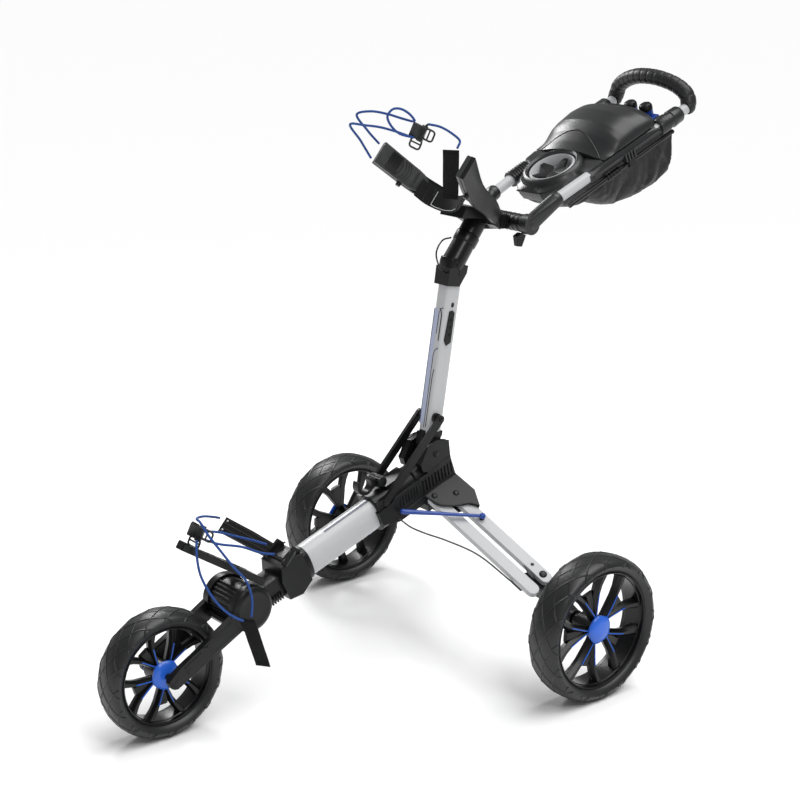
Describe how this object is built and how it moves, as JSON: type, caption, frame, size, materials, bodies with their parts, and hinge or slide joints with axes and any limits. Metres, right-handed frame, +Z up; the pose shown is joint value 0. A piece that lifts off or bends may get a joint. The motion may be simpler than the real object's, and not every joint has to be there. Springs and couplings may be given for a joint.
{
  "type": "golf push cart",
  "caption": "Folding push cart for a golf bag: wheels on splayed legs and a front fork, a sliding hub, cradles with shock cords, and a handle with console and pouch.",
  "frame": {"origin": "on the ground, midway across the rear wheels and midway between the front tyre's face and the grip's end", "axes": "+Z up, -Y the way the cart is pushed, +X the cart's left side"},
  "size_m": [0.803, 1.3038, 1.0657],
  "materials": {
    "bar_black": "satin black paint",
    "cable_grey": "grey cable sheath",
    "cap_blue": "glossy mid blue",
    "cord_blue": "woven sleeve of shock cord",
    "liner_grey": "light grey moulding",
    "moulding_black": "fine-grained near-black moulding",
    "pad_rubber": "soft matt rubber",
    "rim_black": "satin black moulding",
    "shell_grey": "smooth dark grey moulding",
    "steel": "dull zinc",
    "tube_white": "satin white powder coat",
    "tyre_rubber": "matt solid rubber with a diamond tread",
    "webbing_black": "woven black nylon"
  },
  "bodies": {
    "chassis": {"front_tube": "tube_white", "hub_rear": "moulding_black", "fold_bolt": "steel", "lower_cradle": "moulding_black", "base_rest": "moulding_black", "hook_lower": "moulding_black", "tab_lower": "webbing_black", "cord_lower_left": "cord_blue", "cord_lower_over": "cord_blue", "cord_lower_far": "cord_blue", "cord_lower_near": "cord_blue", "brake_cable": "cable_grey"},
    "slider": {"slider": "moulding_black"},
    "catch": {"catch_hook": "moulding_black"},
    "fork": {"fork": "moulding_black"},
    "front_wheel": {"tyre_front": "tyre_rubber", "rim_front": "rim_black", "hub_cap_front": "cap_blue"},
    "mast": {"upper_tube": "tube_white", "tube_foot": "moulding_black", "neck": "moulding_black", "cradle_head": "moulding_black", "cradle_pad_left": "pad_rubber", "cradle_pad_right": "pad_rubber", "sling_band": "webbing_black", "hook_upper": "moulding_black", "tab_upper": "webbing_black", "cord_upper_low": "cord_blue", "cord_upper_high": "cord_blue", "cord_upper_end": "cord_blue"},
    "handle": {"handle_fork_left": "moulding_black", "handle_fork_right": "moulding_black", "handle_tube_left": "tube_white", "handle_tube_right": "tube_white", "grip": "pad_rubber", "console_tray": "shell_grey", "cup_liner": "liner_grey", "ball_clips": "cap_blue", "accessory_bag": "webbing_black", "bag_rail": "moulding_black"},
    "lid": {"console_lid": "shell_grey"},
    "lever": {"lock_lever": "moulding_black"},
    "leg_left": {"leg_bar_left": "tube_white"},
    "link_left": {"leg_link_left": "tube_white"},
    "carrier_left": {"bracket_left": "moulding_black"},
    "release_left": {"release_left": "cap_blue"},
    "wheel_left": {"tyre_rear_left": "tyre_rubber", "rim_rear_left": "rim_black", "hub_cap_rear_left": "cap_blue"},
    "rod_left": {"push_rod_left": "cap_blue"},
    "strut_left": {"strut_left": "bar_black"},
    "leg_right": {"leg_bar_right": "tube_white"},
    "link_right": {"leg_link_right": "tube_white"},
    "carrier_right": {"bracket_right": "moulding_black"},
    "release_right": {"release_right": "cap_blue"},
    "wheel_right": {"tyre_rear_right": "tyre_rubber", "rim_rear_right": "rim_black", "hub_cap_rear_right": "cap_blue"},
    "rod_right": {"push_rod_right": "cap_blue"},
    "strut_right": {"strut_right": "bar_black"}
  },
  "joints": [
    {"name": "upper_fold", "type": "hinge", "parent": "chassis", "child": "mast", "pos_m": [0, 0.04911, 0.393], "axis": [1, 0, 0], "range_deg": [0, 75], "deforming": ["brake_cable"]},
    {"name": "slider_slide", "type": "slide", "parent": "chassis", "child": "slider", "axis": [0, -0.9405, -0.3398], "range_m": [0, 0.083]},
    {"name": "catch_swing", "type": "hinge", "parent": "slider", "child": "catch", "pos_m": [0, -0.06404, 0.35816], "axis": [-1, 0, 0], "range_deg": [0, 50]},
    {"name": "fork_fold", "type": "hinge", "parent": "chassis", "child": "fork", "pos_m": [0, -0.37889, 0.202], "axis": [1, 0, 0], "range_deg": [0, 80]},
    {"name": "front_wheel_spin", "type": "hinge", "parent": "fork", "child": "front_wheel", "pos_m": [0, -0.53789, 0.114], "axis": [1, 0, 0], "continuous": true},
    {"name": "handle_fold", "type": "hinge", "parent": "mast", "child": "handle", "pos_m": [0, 0.24311, 0.807], "axis": [1, 0, 0], "range_deg": [-20, 75]},
    {"name": "lid_open", "type": "hinge", "parent": "handle", "child": "lid", "pos_m": [0, 0.40518, 0.92204], "axis": [1, 0, 0], "range_deg": [0, 45]},
    {"name": "lever_swing", "type": "hinge", "parent": "mast", "child": "lever", "pos_m": [0.046, 0.23911, 0.786], "axis": [1, 0, 0], "range_deg": [0, 30]},
    {"name": "leg_fold_left", "type": "hinge", "parent": "chassis", "child": "leg_left", "pos_m": [0.0554, 0.07831, 0.3091], "axis": [0.5111, -0.2921, 0.8084], "range_deg": [-58, 0]},
    {"name": "link_fold_left", "type": "hinge", "parent": "chassis", "child": "link_left", "pos_m": [0.0375, 0.04074, 0.30684], "axis": [0.5111, -0.2921, 0.8084], "range_deg": [-58, 0]},
    {"name": "carrier_turn_left", "type": "hinge", "parent": "leg_left", "child": "carrier_left", "pos_m": [0.2517, 0.11901, 0.1997], "axis": [0.5111, -0.2921, 0.8084], "range_deg": [0, 58]},
    {"name": "wheel_spin_left", "type": "hinge", "parent": "carrier_left", "child": "wheel_left", "pos_m": [0.3655, 0.13511, 0.135], "axis": [1, 0, 0], "continuous": true},
    {"name": "release_pull_left", "type": "slide", "parent": "carrier_left", "child": "release_left", "axis": [-1, 0, 0], "range_m": [0, 0.008], "stiffness_N_per_m": 300},
    {"name": "rod_swing_left", "type": "hinge", "parent": "slider", "child": "rod_left", "pos_m": [0.0405, -0.03689, 0.301], "axis": [0.5111, -0.2921, 0.8084], "range_deg": [0, 15]},
    {"name": "strut_swing_left", "type": "hinge", "parent": "slider", "child": "strut_left", "pos_m": [0.0295, -0.06855, 0.32357], "axis": [1, 0, 0], "range_deg": [-2, 2]},
    {"name": "leg_fold_right", "type": "hinge", "parent": "chassis", "child": "leg_right", "pos_m": [-0.0554, 0.07831, 0.3091], "axis": [-0.5111, -0.2921, 0.8084], "range_deg": [0, 58]},
    {"name": "link_fold_right", "type": "hinge", "parent": "chassis", "child": "link_right", "pos_m": [-0.0375, 0.04074, 0.30684], "axis": [-0.5111, -0.2921, 0.8084], "range_deg": [0, 58]},
    {"name": "carrier_turn_right", "type": "hinge", "parent": "leg_right", "child": "carrier_right", "pos_m": [-0.2517, 0.11901, 0.1997], "axis": [-0.5111, -0.2921, 0.8084], "range_deg": [-58, 0]},
    {"name": "wheel_spin_right", "type": "hinge", "parent": "carrier_right", "child": "wheel_right", "pos_m": [-0.3655, 0.13511, 0.135], "axis": [1, 0, 0], "continuous": true},
    {"name": "release_pull_right", "type": "slide", "parent": "carrier_right", "child": "release_right", "axis": [1, 0, 0], "range_m": [0, 0.008], "stiffness_N_per_m": 300},
    {"name": "rod_swing_right", "type": "hinge", "parent": "slider", "child": "rod_right", "pos_m": [-0.0405, -0.03689, 0.301], "axis": [-0.5111, -0.2921, 0.8084], "range_deg": [-15, 0]},
    {"name": "strut_swing_right", "type": "hinge", "parent": "slider", "child": "strut_right", "pos_m": [-0.0295, -0.06855, 0.32357], "axis": [1, 0, 0], "range_deg": [-2, 2]}
  ],
  "couplings": [
    {"joint": "slider_slide", "follows": "upper_fold", "m_per_rad": 0.0613},
    {"joint": "leg_fold_left", "follows": "upper_fold", "ratio": -0.75},
    {"joint": "link_fold_left", "follows": "upper_fold", "ratio": -0.75},
    {"joint": "carrier_turn_left", "follows": "upper_fold", "ratio": 0.75},
    {"joint": "rod_swing_left", "follows": "upper_fold", "ratio": 0.185},
    {"joint": "strut_swing_left", "follows": "upper_fold", "ratio": -0.012},
    {"joint": "leg_fold_right", "follows": "upper_fold", "ratio": 0.75},
    {"joint": "link_fold_right", "follows": "upper_fold", "ratio": 0.75},
    {"joint": "carrier_turn_right", "follows": "upper_fold", "ratio": -0.75},
    {"joint": "rod_swing_right", "follows": "upper_fold", "ratio": -0.185},
    {"joint": "strut_swing_right", "follows": "upper_fold", "ratio": -0.012}
  ]
}
